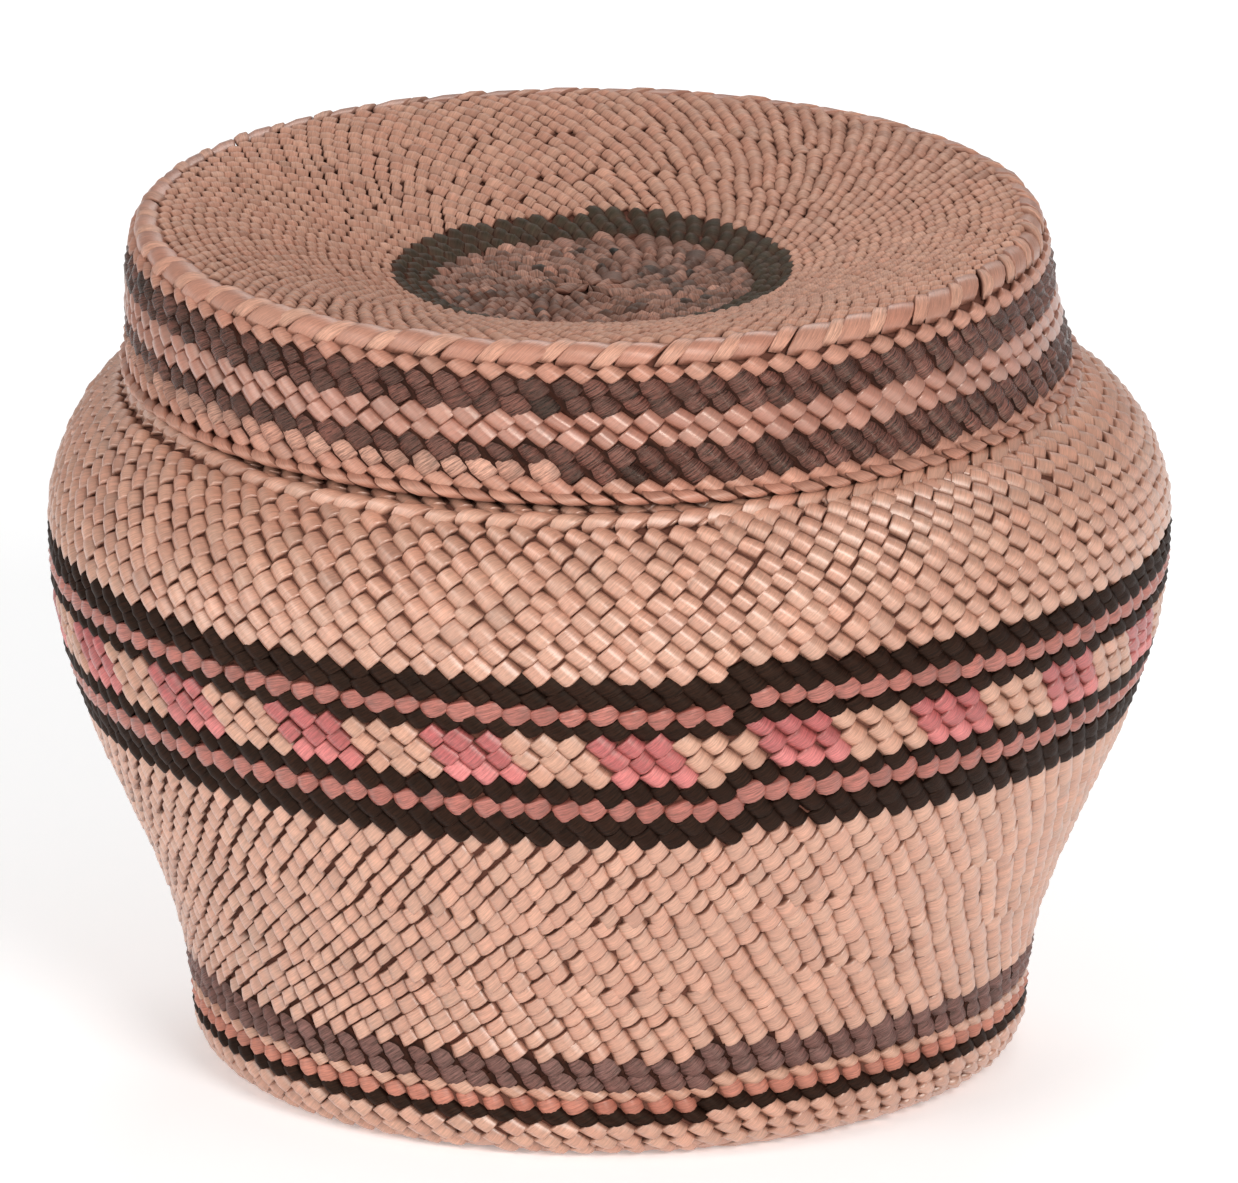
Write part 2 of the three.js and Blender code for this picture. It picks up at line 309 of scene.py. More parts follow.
def strand_bodies(curve, theta, s, along, across, crowns, form, lifts, side=1):
    """Closed arched strands. along and across are half vectors (around, up) in mm for each strand."""
    count = len(theta)
    taper = GRID_ACROSS * (1 - form["point"] * np.abs(GRID_ALONG) ** POINT_POWER)
    spread = GRID_ALONG * (1 - form["flare"] * GRID_ACROSS)
    around = along[:, 0, None, None] * spread + across[:, 0, None, None] * taper
    up = along[:, 1, None, None] * spread + across[:, 1, None, None] * taper
    arch = np.cos(GRID_ALONG * math.pi / 2) * (1 - form["edge"] * np.abs(GRID_ACROSS) ** EDGE_POWER)
    arch = arch - form["tip"] * GRID_ACROSS
    crowns = crowns[:, None, None]
    lifts = lifts[:, None, None]
    s_at = np.clip(s[:, None, None] + up, 0, curve.length)
    theta_at = theta[:, None, None] + around / np.maximum(curve.radius(s_at), LEAST_RADIUS)
    top = curve.place(theta_at, s_at, side * (crowns * (arch - BEDDED) + lifts)).reshape(count, -1, 3)
    under = curve.place(theta_at, s_at, side * (crowns * (-UNDERSIDE - BEDDED) + lifts)).reshape(count, -1, 3)
    faces = strand_faces()
    # Faces turn over when the strand's two half vectors or the curve run the other way
    hand = np.sign(along[0, 0] * across[0, 1] - along[0, 1] * across[0, 0]) * side * curve.outside
    if hand < 0:
        faces = faces[:, ::-1]
    faces = faces[None] + STRAND_SIZE * np.arange(count)[:, None, None]
    length = np.hypot(along[:, 0], along[:, 1])[:, None] * over_strand(GRID_ALONG, GRID_ALONG[GRID_INSIDE])
    width = np.hypot(across[:, 0], across[:, 1])[:, None] * over_strand(GRID_ACROSS, GRID_ACROSS[GRID_INSIDE])
    # Shade painted on the ends and sides, where a strand dips between its neighbours
    painted_end_shade = form["end_shade"] * np.abs(GRID_ALONG) ** PAINTED_END_SHADE_POWER
    painted_side_shade = form["side_shade"] * np.abs(GRID_ACROSS) ** PAINTED_SIDE_SHADE_POWER
    creases = np.where(np.abs(GRID_ACROSS) == FLAT_TO, np.sign(GRID_ACROSS), 0)
    return {
        "points": np.concatenate([top, under[:, GRID_INSIDE.ravel()]], 1),
        "faces": faces.reshape(-1, 4),
        "strand": np.stack([length, width], -1),
        "rim": np.tile(over_strand(np.clip(painted_end_shade + painted_side_shade, 0, 1), 1), count),
        "crease": np.tile(over_strand(creases, 0), count),
        "count": count,
        "size": STRAND_SIZE,
    }


# Unevenness of handwork as standard deviations. Rows, columns, sizes and crowns are shares of their own size,
# the tilt is a share of a stitch's width and the lift is in mm. A slipped stitch lies deeper by a set depth.
ROW_SPREAD = 0.05
COLUMN_SPREAD = 0.04
SIZE_SPREAD = 0.05
TILT_SPREAD = 0.025
CROWN_SPREAD = 0.1
LIFT_SPREAD = 0.04
SUNK_DEPTH = 0.5
# The angle from the front at which a spiral starts and ends, where nothing else is said
BACK_JOG = 180.0


def lay(curve, edges, rows, count, lean, jog=BACK_JOG, jitter=1.0):
    """Places of the stitches of one spiral strand that starts at the jog, an angle from the front.

    edges are lengths along the curve between bands and rows the turns in each band. Each turn holds a part
    of a stitch less than the count, which makes the columns lean."""
    per_turn = count - lean
    ends = np.concatenate([[0], np.cumsum(rows)])
    number = int(round(ends[-1] * per_turn))
    wound = (np.arange(number) + 0.5) / per_turn
    theta = -curve.outside * FULL_TURN * wound + math.radians(jog) + FRONT
    band = np.clip(np.searchsorted(ends, wound, side="right") - 1, 0, len(rows) - 1)
    height = (np.diff(edges) / rows)[band]
    s = np.interp(wound, ends, edges) + ROW_SPREAD * jitter * height * rng.standard_normal(number)
    theta = theta + COLUMN_SPREAD * jitter * rng.standard_normal(number) * FULL_TURN / count
    return {
        "theta": theta,
        "s": s,
        "pitch": FULL_TURN * curve.radius(s) / count,
        "height": height,
        "band": band,
        "row": np.floor(wound).astype(int) - ends[band],
        "column": np.arange(number) % count,
    }


def wrap(curve, places, chosen, form, lift=0.0, side=1, jitter=1.0, sunk=0.0):
    """Strand bodies of one form at the chosen places. sunk is the share of stitches that have slipped in."""
    keep = np.flatnonzero(chosen)
    number = len(keep)
    pitch = places["pitch"][keep]
    height = places["height"][keep]
    grow = 1 + SIZE_SPREAD * jitter * rng.standard_normal(number)
    tilt = TILT_SPREAD * jitter * rng.standard_normal(number)
    up = curve.outside
    along = np.stack([form["reach"][0] * pitch * grow, up * form["reach"][1] * height * grow], 1)
    across = np.stack([(tilt - form["girth"][0]) * pitch, up * form["girth"][1] * height * grow], 1)
    crowns = form["crown"] * (1 + CROWN_SPREAD * jitter * rng.standard_normal(number))
    lifts = lift + LIFT_SPREAD * jitter * rng.standard_normal(number)
    lifts = np.where(rng.random(number) < sunk, lifts - SUNK_DEPTH, lifts)
    theta = places["theta"][keep]
    return strand_bodies(curve, theta, places["s"][keep], along, across, crowns, form, lifts, side)


def stitches(curve, start, end, rows, count, form, lean=0.3, lift=0.0, side=1, jitter=1.0):
    """All the stitches of one band that is a spiral of its own."""
    places = lay(curve, [start, end], [rows], count, lean, jitter=jitter)
    every = np.ones(len(places["s"]), dtype=bool)
    return wrap(curve, places, every, form, lift, side, jitter)


# Straps of an edge vary like stitches. Each is a little longer than its edge, and its sides lean with it.
STRAP_ANGLE_SPREAD = 0.025
STRAP_PLACE_SPREAD = 0.05
STRAP_LIFT_SPREAD = 0.05
STRAP_OVERLAP = 1.08
STRAP_SIDE_LEAN = 0.12


def straps(curve, start, end, count, slant, crown, form=STRAP, wide=1.0, offset=0.0, lift=0.0, sway=None):
    """Long flat strands laid side by side on a slant. sway moves each along the curve by its angle."""
    middle = 0.5 * (start + end)
    half = 0.5 * (end - start)
    turn = np.arange(count) + offset + STRAP_ANGLE_SPREAD * rng.standard_normal(count)
    theta = turn * FULL_TURN / count + FRONT
    s = np.full(count, middle) + STRAP_PLACE_SPREAD * (end - start) * rng.standard_normal(count)
    if sway is not None:
        s = s + sway(theta)
    pitch = FULL_TURN * curve.radius(middle) / count
    grow = 1 + SIZE_SPREAD * rng.standard_normal(count)
    along = np.stack([half * slant * grow, half * STRAP_OVERLAP * grow], 1)
    side_lean = np.full(count, -STRAP_SIDE_LEAN * half * np.sign(slant))
    across = np.stack([0.5 * pitch * wide * grow, side_lean], 1)
    crowns = crown * (1 + CROWN_SPREAD * rng.standard_normal(count))
    lifts = lift + STRAP_LIFT_SPREAD * rng.standard_normal(count)
    return strand_bodies(curve, theta, s, along, across, crowns, form, lifts)


# A strand's tone varies by a share of its colour, and a few strands are darker.
# Strands take their streaks from places this far apart in the noise.
TONE = 0.06
ODD_SHARE = 0.03
ODD_TONE = 0.84
STREAK_STEP = 7.3


def build(name, made, material, body, nodes=(), tone=TONE):
    """One mesh from strand bodies, with a run of values that the shader reads."""
    points = settle(made["points"]).reshape(-1, 3) * MM
    faces = made["faces"]
    mesh = bpy.data.meshes.new(name)
    mesh.vertices.add(len(points))
    mesh.vertices.foreach_set("co", points.astype(np.float32).ravel())
    mesh.loops.add(len(faces) * 4)
    mesh.loops.foreach_set("vertex_index", faces.astype(np.int32).ravel())
    mesh.polygons.add(len(faces))
    mesh.polygons.foreach_set("loop_start", np.arange(0, len(faces) * 4, 4, dtype=np.int32))
    mesh.polygons.foreach_set("use_smooth", np.ones(len(faces), dtype=bool))
    mesh.update(calc_edges=True)
    # A strand's top is flat between two creases, so that light lies across it as a band
    ends = np.empty(len(mesh.edges) * 2, dtype=np.int32)
    mesh.edges.foreach_get("vertices", ends)
    first, second = made["crease"][ends.reshape(-1, 2)].T
    creases = mesh.attributes.new("sharp_edge", "BOOLEAN", "EDGE")
    creases.data.foreach_set("value", (first != 0) & (first == second))
    count, size = made["count"], made["size"]
    lot = np.broadcast_to(STREAK_STEP * np.arange(count)[:, None, None], (count, size, 1))
    strand = np.concatenate([made["strand"], lot], -1)
    values = mesh.attributes.new("strand", "FLOAT_VECTOR", "POINT")
    values.data.foreach_set("vector", strand.astype(np.float32).ravel())
    odd = np.where(rng.random(count) < ODD_SHARE, ODD_TONE, 1.0)
    shade = np.repeat(odd * (1 + tone * rng.standard_normal(count)), size)
    tones = mesh.attributes.new("shade", "FLOAT", "POINT")
    tones.data.foreach_set("value", shade.astype(np.float32))
    # Shade painted on the ends and sides of each strand
    rims = mesh.attributes.new("rim", "FLOAT", "POINT")
    rims.data.foreach_set("value", made["rim"].astype(np.float32))
    mesh.materials.append(material)
    piece = bpy.data.objects.new(name + "_strands", mesh)
    bpy.context.collection.objects.link(piece)
    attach(piece, body)
    if nodes:
        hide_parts(*nodes)
    return piece


# The shell of dark bark behind the strands: its depths, where it starts, its spacing and its streaks
SHELL_FACE = 0.72
SHELL_BACK = 1.5
SHELL_START = 0.3
SHELL_STEP = 1.5
SHELL_TURNS = 96
SHELL_STREAK_RADIUS = 40


def shell(name, curve, material, body, nodes):
    """A closed thin shell that follows a profile between two depths, behind the strands."""
    count = int((curve.length - SHELL_START) / SHELL_STEP)
    s = np.linspace(SHELL_START, curve.length, count)
    s_ring = np.concatenate([s, s[::-1]])
    depths = np.repeat([SHELL_FACE, SHELL_BACK], count)
    theta = np.linspace(0, FULL_TURN, SHELL_TURNS, endpoint=False)[:, None]
    around = len(s_ring)
    points = curve.place(theta, s_ring[None], np.broadcast_to(-depths, (SHELL_TURNS, around)))
    i, j = np.meshgrid(np.arange(SHELL_TURNS), np.arange(around), indexing="ij")
    i, j = i.ravel(), j.ravel()
    ni, nj = (i + 1) % SHELL_TURNS, (j + 1) % around
    faces = np.stack([i * around + j, ni * around + j, ni * around + nj, i * around + nj], 1)
    if curve.outside < 0:
        faces = faces[:, ::-1]
    strand = np.stack(np.broadcast_arrays(theta * SHELL_STREAK_RADIUS, s_ring[None]), -1)
    size = SHELL_TURNS * around
    made = {
        "points": points.reshape(1, -1, 3),
        "faces": faces,
        "strand": strand.reshape(1, -1, 2),
        "rim": np.zeros(size),
        "crease": np.zeros(size),
        "count": 1,
        "size": size,
    }
    return build(name, made, material, body, nodes, tone=0.0)


# How a redder strand differs from its neighbours, in linear colour
WARMER = np.array([0.93, 0.82, 0.8])
# Streaks of the fibre: scale along, across and between strands, and the part of the noise that is used
FIBRE_SCALE = (0.55, 6.5, 1.0)
FIBRE_DETAIL = 4.0
FIBRE_ROUGHNESS = 0.65
FIBRE_LOW = 0.36
FIBRE_HIGH = 0.64
COAT_ROUGHNESS = 0.4
COAT_IOR = 1.6
BUMP_DISTANCE = 0.0003


def attribute(nodes, name):
    node = nodes.new("ShaderNodeAttribute")
    node.attribute_name = name
    return node


def grass(name, colour, roughness=0.38, streak=0.25, gloss=0.25, bump=0.25, dark=GAP, pale=0.6,
          specular=0.5):
    """Split plant strand: streaks along the strand, a tone of its own for each, satin surface.

    streak is how much darker a streak can be and pale how far, by comparison, it can be lighter. dark is the
    colour of the shade painted on its ends and sides, where they dip between neighbours."""
    material = bpy.data.materials.new(name)
    material.use_nodes = True
    nodes = material.node_tree.nodes
    links = material.node_tree.links
    shader = nodes["Principled BSDF"]
    strand = attribute(nodes, "strand")
    shade = attribute(nodes, "shade")
    rim = attribute(nodes, "rim")
    # Streaks that run along the strand
    stretch = nodes.new("ShaderNodeMapping")
    stretch.inputs["Scale"].default_value = FIBRE_SCALE
    links.new(strand.outputs["Vector"], stretch.inputs["Vector"])
    fibre = nodes.new("ShaderNodeTexNoise")
    fibre.inputs["Scale"].default_value = 1.0
    fibre.inputs["Detail"].default_value = FIBRE_DETAIL
    fibre.inputs["Roughness"].default_value = FIBRE_ROUGHNESS
    links.new(stretch.outputs["Vector"], fibre.inputs["Vector"])
    span = nodes.new("ShaderNodeMapRange")
    span.inputs["From Min"].default_value = FIBRE_LOW
    span.inputs["From Max"].default_value = FIBRE_HIGH
    span.inputs["To Min"].default_value = 1 - streak
    span.inputs["To Max"].default_value = 1 + streak * pale
    links.new(fibre.outputs["Fac"], span.inputs["Value"])
    level = nodes.new("ShaderNodeMath")
    level.operation = "MULTIPLY"
    links.new(span.outputs["Result"], level.inputs[0])
    links.new(shade.outputs["Fac"], level.inputs[1])
    # Each strand is a little redder by a lot of its own
    split = nodes.new("ShaderNodeSeparateXYZ")
    links.new(strand.outputs["Vector"], split.inputs["Vector"])
    lot = nodes.new("ShaderNodeTexWhiteNoise")
    lot.noise_dimensions = "1D"
    links.new(split.outputs["Z"], lot.inputs["W"])
    hue = nodes.new("ShaderNodeMix")
    hue.data_type = "RGBA"
    hue.inputs["A"].default_value = (*linear(colour), 1)
    hue.inputs["B"].default_value = (*(np.array(linear(colour)) * WARMER), 1)
    links.new(lot.outputs["Value"], hue.inputs["Factor"])
    tint = nodes.new("ShaderNodeVectorMath")
    tint.operation = "SCALE"
    links.new(hue.outputs["Result"], tint.inputs[0])
    links.new(level.outputs["Value"], tint.inputs["Scale"])
    # Shade painted on the ends and sides, where strands dip between their neighbours
    edge = nodes.new("ShaderNodeMix")
    edge.data_type = "RGBA"
    edge.inputs["B"].default_value = (*linear(dark), 1)
    links.new(rim.outputs["Fac"], edge.inputs["Factor"])
    links.new(tint.outputs["Vector"], edge.inputs["A"])
    links.new(edge.outputs["Result"], shader.inputs["Base Color"])
    shader.inputs["Roughness"].default_value = roughness
    shader.inputs["Specular IOR Level"].default_value = specular
    shader.inputs["Specular Tint"].default_value = (*linear(SHEEN), 1)
    shader.inputs["Coat Weight"].default_value = gloss
    shader.inputs["Coat Roughness"].default_value = COAT_ROUGHNESS
    shader.inputs["Coat IOR"].default_value = COAT_IOR
    height = nodes.new("ShaderNodeBump")
    height.inputs["Strength"].default_value = bump
    height.inputs["Distance"].default_value = BUMP_DISTANCE
    links.new(fibre.outputs["Fac"], height.inputs["Height"])
    links.new(height.outputs["Normal"], shader.inputs["Normal"])
    return material


# Materials
natural = grass("natural_grass", NATURAL, gloss=1.0, specular=1.0)
lid_natural = grass("lid_grass", LID_NATURAL, roughness=0.55, gloss=0.05)
copper = grass("copper_grass", COPPER, roughness=0.3, streak=0.2, gloss=0.9, specular=1.0)
strap_wide = grass("strap_wide", STRAP_WIDE, roughness=0.36, gloss=0.4)
strap_pale = grass("strap_pale", STRAP_PALE, roughness=0.5, streak=0.35, gloss=0.1)
black = grass(
    "black_strand", BLACK, roughness=0.5, streak=0.5, gloss=0.0, dark=DARK_STRAND_SHADE, pale=1.4, specular=0.12
)
rose = grass("rose_strand", ROSE, roughness=0.34, streak=0.5, gloss=0.5)
pink = grass("pink_strand", PINK, roughness=0.36, streak=0.4, gloss=0.5)
pink_light = grass("pink_light_strand", PINK_LIGHT, roughness=0.45, streak=0.3)
cream = grass("cream_strand", CREAM, roughness=0.36, gloss=0.7)
russet = grass("russet_strand", RUSSET, roughness=0.45, streak=0.3)
plum = grass(
    "plum_strand", PLUM, roughness=0.4, streak=0.5, gloss=0.0, bump=0.6, dark=SHADE, pale=1.4, specular=0.4
)
brown = grass(
    "brown_strand", BROWN, roughness=0.26, streak=0.7, gloss=0.0, bump=0.7, dark=DARK_STRAND_SHADE, pale=2.2, specular=0.45
)
mottled = grass("mottled_strand", MOTTLED, roughness=0.5, streak=0.5, gloss=0.05, dark=BROWN, pale=1.2)
ring_dark = grass("dark_ring_strand", RING, roughness=0.6, streak=0.4, gloss=0.0, specular=0.25)
centre = grass("lid_centre_strand", CENTRE, roughness=0.6, streak=0.5, gloss=0.0)
bark = grass("bark", BARK, roughness=0.7, gloss=0.0)
gap = grass("gap_bark", GAP, roughness=0.85, gloss=0.0)
# Painted shade: the near-black of the strands laid under the knots
painted_shade_backing = grass("painted_shade_strand", SHADE, roughness=0.8, gloss=0.0, specular=0.1)


def wall_edges(names):
    """Lengths along the wall at the lower edge of each CAD band, and at the top of the last."""
    heights = [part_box(name)[0].z / MM for name in names] + [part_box(names[-1])[1].z / MM]
    return [body_curve.first((body_curve.s >= BASE_EDGE) & (body_curve.z >= z)) for z in heights]


edges = wall_edges([
    "foot_natural_band", "foot_black_course", "foot_russet_course", "foot_cream_course", "foot_plum_band",
    "lower_wall_band", "lower_black_band", "lower_rose_course", "lower_black_course", "check_band",
    "upper_black_course", "upper_rose_course", "upper_black_band", "upper_wall_band",
])
LOWER_WALL = 5
LOWER_MID_SHARE = 0.3
LOWER_HIGH_SHARE = 0.63
lower_wall_length = edges[LOWER_WALL + 1] - edges[LOWER_WALL]
lower_mid = edges[LOWER_WALL] + LOWER_MID_SHARE * lower_wall_length
lower_high = edges[LOWER_WALL] + LOWER_HIGH_SHARE * lower_wall_length

# The wall is three spirals, each with more stitches than the one below.
# Each band has its piece, rows, material, slot and form.
FOOT_SPIRAL = [
    ("foot_natural_band", 3, natural, "natural_grass", RIBBON),
    ("foot_black_course", 1, black, "black_strand", DENSE),
    ("foot_russet_course", 1, russet, "russet_strand", ROUND),
    ("foot_cream_course", 1, cream, "cream_strand", RIBBON),
    ("foot_plum_band", 2, plum, "plum_strand", KNOT),
    ("lower_wall_band", 6, natural, "natural_grass", SCALE),
]
MIDDLE_SPIRAL = [("lower_wall_mid", 6, natural, "natural_grass", SCALE)]
UPPER_SPIRAL = [
    ("lower_wall_high", 6, natural, "natural_grass", SCALE),
    ("lower_black_band", 2, black, "black_strand", DENSE),
    ("lower_rose_course", 1, rose, "rose_strand", LENS),
    ("lower_black_course", 1, black, "black_strand", DENSE),
    ("check_band", 3, cream, "cream_strand", RIBBON),
    ("upper_black_course", 1, black, "black_strand", DENSE),
    ("upper_rose_course", 1, rose, "rose_strand", LENS),
    ("upper_black_band", 2, black, "black_strand", DENSE),
    ("upper_wall_band", 9, natural, "natural_grass", RIBBON),
]
# Each spiral has its bands, their edges, the stitches of a turn and the lean of the columns
SEAM_LAP = 0.3
SPIRALS = [
    (FOOT_SPIRAL, edges[:LOWER_WALL + 1] + [lower_mid], 94, 0.3),
    (MIDDLE_SPIRAL, [lower_mid - SEAM_LAP, lower_high], 106, 0.34),
    (UPPER_SPIRAL, [lower_high - SEAM_LAP] + edges[LOWER_WALL + 1:], 120, 0.44),
]
WALL_JOG = 13.5
SLIPPED = 0.006
BACKING_LIFT = -0.35
# Blocks of the check band, in stitches
BLOCK = 3
BLOCK_SHIFT = 3


def node_of(piece):
    """The CAD node that a band stands for, if it has one of its own."""
    return [piece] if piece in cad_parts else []


def check_band(piece, places, chosen, form):
    """Blocks of cream and pink by turns, with the lowest course of each pink block lighter."""
    block = ((places["column"] + BLOCK_SHIFT) // BLOCK) % 2 == 0
    light = places["row"] == 0
    made = wrap(body_curve, places, chosen & ~block, form)
    build(piece + "_cream", made, cream, "basket", [piece])
    made = wrap(body_curve, places, chosen & block & ~light, form)
    build(piece + "_pink", made, pink, "basket")
    made = wrap(body_curve, places, chosen & block & light, form)
    build(piece + "_pink_light", made, pink_light, "basket")


for bands, bounds, count, lean in SPIRALS:
    places = lay(body_curve, bounds, [band[1] for band in bands], count, lean, WALL_JOG)
    for number, (piece, _, material, slot, form) in enumerate(bands):
        chosen = places["band"] == number
        if piece == "check_band":
            check_band(piece, places, chosen, form)
        else:
            made = wrap(body_curve, places, chosen, form, sunk=SLIPPED)
            build(piece, made, material, "basket", node_of(piece))
        # Near-black strands under the knots, as painted shade for the gaps between them
        if form is KNOT:
            made = wrap(body_curve, places, chosen, BACKING, lift=BACKING_LIFT)
            build(piece + "_backing", made, painted_shade_backing, "basket")

# Shoulder braid. It dips below the lid's hem at the front left, and elsewhere rises under the lid.
BRAID_HALF = 1.3
BRAID_RISE = 1.8
BRAID_SHOWS_AT = math.radians(-18)
BRAID_SHOWS_WIDE = math.radians(36)


def shoulder_sway(theta):
    away = (theta - FRONT - BRAID_SHOWS_AT + math.pi) % FULL_TURN - math.pi
    return BRAID_RISE * (1 - np.exp(-((away / BRAID_SHOWS_WIDE) ** 4)))


made = straps(
    body_curve, edges[-1] - BRAID_HALF, edges[-1] + BRAID_HALF, count=96, slant=1.3, crown=1.3, form=LEAF,
    wide=0.82, lift=0.4, sway=shoulder_sway,
)
build("shoulder_braid", made, natural, "basket", ["shoulder_braid"])

# Shoulder under the lid, neck, and the selvage at the mouth
neck_foot = body_curve.length - NECK_DEPTH
made = stitches(body_curve, edges[-1], neck_foot, rows=4, count=104, form=FINE, lift=-0.1)
build("shoulder_inner_band", made, natural, "basket", ["shoulder_inner_band"])
made = stitches(body_curve, neck_foot, body_curve.length, rows=6, count=100, form=FINE, lift=-0.3)
build("neck_collar", made, natural, "basket", ["neck_collar"])
RIM_RADIUS = NECK_RADIUS - 0.5 * WALL_THICKNESS
RIM_ROUND = 1.3
rim_curve = Curve([arc((RIM_RADIUS, NECK_TOP), RIM_ROUND, -20, 200)], 1)
made = straps(rim_curve, 0.0, rim_curve.length, count=96, slant=0.7, crown=0.8, lift=-0.05)
build("neck_rim", made, natural, "basket", ["neck_rim"])

# Heel of flat straps and the twined underside
HEEL_LAP = 0.6
HEEL_RISE = 1.6
BASE_START_RADIUS = 12.0
BASE_HOLE = 0.8
heel_start = BASE_EDGE - HEEL_LAP
made = straps(
    body_curve, heel_start, edges[0] + HEEL_RISE, count=74, slant=1.3, crown=0.9, wide=0.88, lift=-0.2
)
build("heel_twine", made, natural, "basket", ["heel_twine"])
made = stitches(body_curve, BASE_START_RADIUS, heel_start, rows=14, count=62, form=DENSE, lift=-0.36)
build("base_disc", made, natural, "basket", ["base_disc"])
made = stitches(body_curve, BASE_HOLE, BASE_START_RADIUS, rows=5, count=20, form=FINE, lift=-0.25)
build("base_start", made, bark, "basket", ["base_start"])


# The lid from its middle outwards
def lid_length_at(radius):
    """Length along the lid's curve at which it first reaches a radius."""
    return lid_curve.first(lid_curve.r >= radius)


def node_radius(node):
    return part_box(node)[1].x / MM


LID_HOLE = 0.4
BRAID_PAST_CREST = 0.6
lid_start_edge = lid_length_at(node_radius("lid_start"))
ring_inner = lid_length_at(node_radius("lid_centre_courses"))
ring_outer = lid_length_at(node_radius("lid_dark_ring"))
centre_mid = 0.5 * (lid_start_edge + ring_inner)
braid_start = lid_length_at(LID_CREST) + BRAID_PAST_CREST
made = stitches(lid_curve, LID_HOLE, lid_start_edge, rows=2, count=9, form=FINE, lift=-0.1, jitter=2.0)
build("lid_start", made, centre, "lid", ["lid_start"], tone=0.3)
made = stitches(
    lid_curve, lid_start_edge, centre_mid, rows=5, count=25, form=KNOT, lean=0.4, lift=-0.15, jitter=2.0
)
build("lid_centre_courses", made, centre, "lid", ["lid_centre_courses"], tone=0.4)
made = stitches(
    lid_curve, centre_mid, ring_inner, rows=5, count=46, form=KNOT, lean=0.4, lift=-0.15, jitter=2.0
)
build("lid_centre_outer", made, centre, "lid", tone=0.4)
made = stitches(
    lid_curve, ring_inner, ring_outer, rows=3, count=60, form=KNOT, lean=0.4, lift=-0.1, jitter=1.5
)
build("lid_dark_ring", made, ring_dark, "lid", ["lid_dark_ring"], tone=0.15)

# The lid's top gains stitches outwards in three steps
LID_TOP_COUNTS = [80, 108, 132]
LID_TOP_ROWS = [6, 7, 8]
rows_done = np.cumsum([0] + LID_TOP_ROWS)
lid_top_edges = np.interp(rows_done, [0, rows_done[-1]], [ring_outer, braid_start])
for number, (rows, count) in enumerate(zip(LID_TOP_ROWS, LID_TOP_COUNTS)):
    start, end = lid_top_edges[number], lid_top_edges[number + 1]
    made = stitches(lid_curve, start, end, rows, count, form=DIAMOND, lean=0.45, jitter=1.3)
    nodes = ["lid_top_band"] if number == 0 else []
    build(f"lid_top_{number}", made, lid_natural, "lid", nodes)

# The flange is one spiral, with bands in the form of the wall's
FLANGE = [
    ("lid_edge_course", 1, strap_wide, "copper_grass", RIBBON),
    ("lid_upper_brown_band", 2, brown, "brown_strand", KNOT),
    ("lid_copper_band", 2, copper, "copper_grass", RIBBON),
    ("lid_lower_brown_band", 2, brown, "brown_strand", KNOT),
    ("lid_hem_course", 1, strap_wide, "copper_grass", RIBBON),
]
FLANGE_COUNT = 98
FLANGE_LEAN = 0.42
# How far each edge of the flange's bands lies below that of its CAD node
FLANGE_DROPS = [0.2, 0.75, 0.75, 0.95, 0.6, 1.0]
# Angles from the front between which the lowest brown course has faded
FADED_FROM = 235
FADED_TO = 354.5
FADED_TONE = 0.2
KNOT_JITTER = 1.4
KNOT_TONE = 0.28


def lid_length_below(z):
    """Length of the first point past the crest that lies below a height."""
    return lid_curve.first((lid_curve.s > lid_length_at(LID_CREST)) & (lid_curve.z <= z))


flange_tops = [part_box(band[0])[1].z / MM for band in FLANGE] + [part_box(FLANGE[-1][0])[0].z / MM]
flange_edges = [lid_length_below(z - drop) for z, drop in zip(flange_tops, FLANGE_DROPS)]
places = lay(lid_curve, flange_edges, [band[1] for band in FLANGE], FLANGE_COUNT, FLANGE_LEAN)
turned = np.degrees(places["theta"] - FRONT) % 360
for number, (piece, rows, material, slot, form) in enumerate(FLANGE):
    in_band = places["band"] == number
    chosen = in_band
    if piece == "lid_lower_brown_band":
        faded = in_band & (places["row"] == rows - 1) & (turned > FADED_FROM) & (turned < FADED_TO)
        made = wrap(lid_curve, places, faded, form)
        build("lid_faded_course", made, mottled, "lid", tone=FADED_TONE)
        chosen = in_band & ~faded
    jitter, tone = (KNOT_JITTER, KNOT_TONE) if form is KNOT else (1.0, TONE)
    made = wrap(lid_curve, places, chosen, form, jitter=jitter)
    build(piece, made, material, "lid", [piece], tone)
    # Near-black strands under the knots, as painted shade for the gaps between them
    if form is KNOT:
        made = wrap(lid_curve, places, in_band, BACKING, lift=BACKING_LIFT)
        build(piece + "_backing", made, painted_shade_backing, "lid")

# The braided edge of wide straps with narrow pale ones between them, and the hem
EDGE_STRAPS = 49
EDGE_SLANT = -1.15
WIDE_LAP = 0.4
PALE_LAP = 0.3
PALE_SHORT = 0.2
BRAID_OVERHANG = 0.1
HEM_LAP = 0.75
braid_end = flange_edges[0] + BRAID_OVERHANG
made = straps(
    lid_curve, braid_start - WIDE_LAP, braid_end, EDGE_STRAPS, EDGE_SLANT, crown=1.05, form=FLAT, wide=0.66,
    lift=0.3,
)
build("lid_edge_braid_wide", made, strap_wide, "lid", ["lid_edge_braid"])
made = straps(
    lid_curve, braid_start - PALE_LAP, braid_end - PALE_SHORT, EDGE_STRAPS, EDGE_SLANT, crown=0.85, form=FLAT,
    wide=0.32, offset=0.5, lift=0.38,
)
build("lid_edge_braid_pale", made, strap_pale, "lid")
made = straps(
    lid_curve, flange_edges[-1] - HEM_LAP, lid_curve.length, count=FLANGE_COUNT, slant=1.6, crown=1.2,
    form=LEAF, wide=0.8, lift=0.75,
)
build("lid_hem_braid", made, strap_wide, "lid", ["lid_hem_braid"])

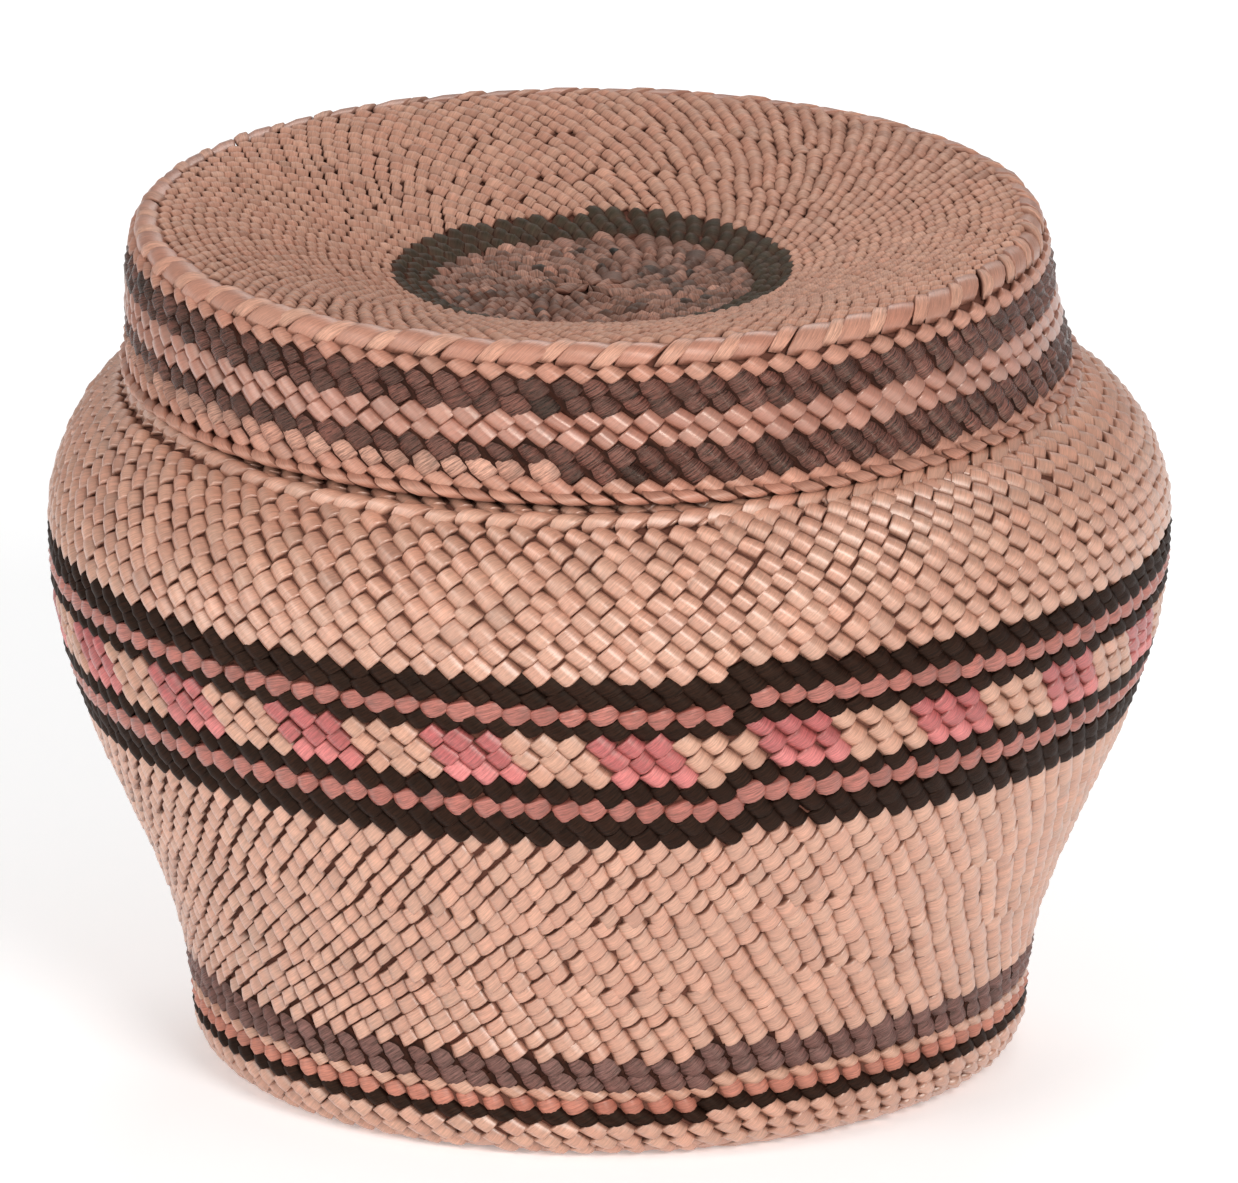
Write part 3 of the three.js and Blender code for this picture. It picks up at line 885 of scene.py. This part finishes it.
# Dark bark behind the strands, and the weft that lines the inside
LINING_DEPTH = 2.45
LINING_STOP = 1.0
LID_LINING_START = 2.0
shell("warp_wall", body_curve, gap, "basket", ["body_warps"])
shell("lid_warp_wall", lid_curve, gap, "lid", ["lid_warps"])
made = stitches(
    body_curve, BASE_EDGE, body_curve.length - LINING_STOP, rows=36, count=56, form=LINING, lean=0.0,
    lift=LINING_DEPTH, side=-1,
)
build("inner_weft_wall", made, bark, "basket", ["inner_weft"])
made = stitches(
    lid_curve, LID_LINING_START, lid_curve.length - LINING_STOP, rows=30, count=64, form=LINING, lean=0.0,
    lift=LINING_DEPTH, side=-1,
)
build("lid_inner_weft", made, bark, "lid", ["lid_inner_weft"])

# Floor, in metres
FLOOR_HALF = 3.0
WHITE = (1, 1, 1, 1)
floor_mesh = bpy.data.meshes.new("floor")
floor_mesh.from_pydata(
    [(-FLOOR_HALF, -FLOOR_HALF, 0), (FLOOR_HALF, -FLOOR_HALF, 0), (FLOOR_HALF, FLOOR_HALF, 0),
     (-FLOOR_HALF, FLOOR_HALF, 0)],
    [],
    [(0, 1, 2, 3)],
)
floor = bpy.data.objects.new("floor", floor_mesh)
bpy.context.collection.objects.link(floor)
floor_material = bpy.data.materials.new("floor")
floor_material.use_nodes = True
floor_inputs = floor_material.node_tree.nodes["Principled BSDF"].inputs
floor_inputs["Base Color"].default_value = WHITE
floor_inputs["Roughness"].default_value = 0.9
floor_inputs["Emission Color"].default_value = WHITE
floor_inputs["Emission Strength"].default_value = 0.25
floor_mesh.materials.append(floor_material)

# Light and camera, aimed at the middle of the basket, in metres
MIDDLE = (0, 0, 0.046)


def area_light(name, place, size, power):
    light = bpy.data.lights.new(name, "AREA")
    light.shape = "DISK"
    light.size = size
    light.energy = power
    lamp = bpy.data.objects.new(name, light)
    lamp.location = place
    lamp.rotation_euler = (Vector(MIDDLE) - Vector(place)).to_track_quat("-Z", "Y").to_euler()
    bpy.context.collection.objects.link(lamp)


area_light("key", (0.4, -1.02, 0.6), size=0.5, power=9.0)
area_light("fill", (-0.8, -0.6, 0.5), size=0.7, power=4.4)
area_light("back", (0.1, 0.7, 0.8), size=0.6, power=3)
world = bpy.data.worlds.new("room")
bpy.context.scene.world = world
world.use_nodes = True
world.node_tree.nodes["Background"].inputs["Color"].default_value = WHITE
world.node_tree.nodes["Background"].inputs["Strength"].default_value = 0.36
bpy.context.scene.view_settings.view_transform = "Standard"

# The picture's size, and where the middle of the basket lies in it, in pixels
IMAGE_WIDTH = 1238
IMAGE_HEIGHT = 1183
AXIS_X = 609
AXIS_Y = 632.6
PIXELS_PER_MM = 9.29
ELEVATION = math.radians(17.0)
DISTANCE = 6.0
SENSOR_WIDTH = 36
CLIP_END = 50
camera_data = bpy.data.cameras.new("camera")
camera = bpy.data.objects.new("camera", camera_data)
bpy.context.collection.objects.link(camera)
camera.location = (0, -DISTANCE * math.cos(ELEVATION), MIDDLE[2] + DISTANCE * math.sin(ELEVATION))
camera.rotation_euler = (math.pi / 2 - ELEVATION, 0, 0)
camera_data.sensor_width = SENSOR_WIDTH
camera_data.lens = SENSOR_WIDTH * DISTANCE * PIXELS_PER_MM / (IMAGE_WIDTH * MM)
camera_data.shift_x = -(AXIS_X - IMAGE_WIDTH / 2) / IMAGE_WIDTH
camera_data.shift_y = (AXIS_Y - IMAGE_HEIGHT / 2) / IMAGE_WIDTH
camera_data.clip_end = CLIP_END
bpy.context.scene.camera = camera
